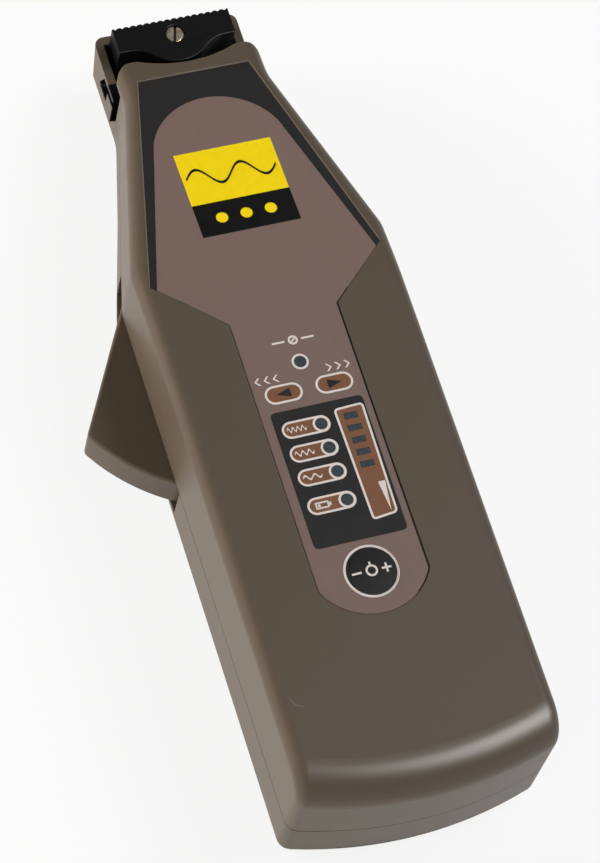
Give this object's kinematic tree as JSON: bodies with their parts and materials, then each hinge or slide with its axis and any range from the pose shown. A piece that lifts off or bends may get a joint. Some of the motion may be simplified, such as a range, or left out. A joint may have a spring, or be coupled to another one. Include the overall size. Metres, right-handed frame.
{
  "type": "optical fiber identifier",
  "caption": "Handheld tester that clamps and bends an optical fibre in its head with a side trigger and shows signal, direction and level on face lamps.",
  "frame": {"origin": "on the flat rear face, on the middle line, at the middle of the grip", "axes": "+Y along the instrument towards its head, +Z out of the face, +X to the right seen from the face"},
  "size_m": [0.0821, 0.219, 0.0386],
  "materials": {
    "housing_plastic": "fine satin moulding, olive brown",
    "label_film": "printed film, satin",
    "black_key": "satin black",
    "black_plastic": "matte black",
    "grey_plastic": "plain moulding",
    "board_laminate": "solder mask",
    "chip_resin": "moulded resin",
    "lamp_resin": "clear tinted resin",
    "detector_glass": "dark lens",
    "nickel_steel": "bright nickel",
    "steel": "zinc plated",
    "battery_case": "plain wrapped can"
  },
  "bodies": {
    "housing": {"front_shell": "housing_plastic", "rear_shell": "housing_plastic", "face_label": "label_film", "head_block": "black_plastic", "circuit_board": "board_laminate", "board_chips": "chip_resin", "button_switch": "chip_resin", "no_signal_lamp": "lamp_resin", "direction_lamps": "lamp_resin", "frequency_lamps": "lamp_resin", "level_lamps": "lamp_resin", "photodiodes": "detector_glass", "block_screw": "nickel_steel", "case_screws": "steel", "board_screws": "steel", "trigger_pin": "steel", "return_spring": "steel", "battery": "battery_case", "battery_snap": "chip_resin"},
    "trigger": {"trigger_lever": "housing_plastic"},
    "plunger": {"plunger_bar": "grey_plastic", "clamp_jaw": "black_plastic"},
    "button": {"adjust_button": "black_key"},
    "door": {"battery_door": "housing_plastic"}
  },
  "joints": [
    {"name": "trigger_hinge", "type": "hinge", "parent": "housing", "child": "trigger", "pos_m": [-0.0074, 0.0655, 0.00885], "axis": [0, 0, 1], "range_deg": [0, 28], "stiffness_Nm_per_rad": 0.4, "springref_deg": -14.32},
    {"name": "plunger_slide", "type": "slide", "parent": "housing", "child": "plunger", "axis": [0, 1, 0], "range_m": [0, 0.0044], "deforming": ["return_spring"]},
    {"name": "button_press", "type": "slide", "parent": "housing", "child": "button", "axis": [0, 0, -1], "range_m": [0, 0.0005], "stiffness_N_per_m": 1500, "springref_m": -0.0003},
    {"name": "door_slide", "type": "slide", "parent": "housing", "child": "door", "axis": [0, -1, 0], "range_m": [0, 0.056]}
  ],
  "couplings": [
    {"joint": "plunger_slide", "follows": "trigger_hinge", "m_per_rad": 0.0089107}
  ]
}
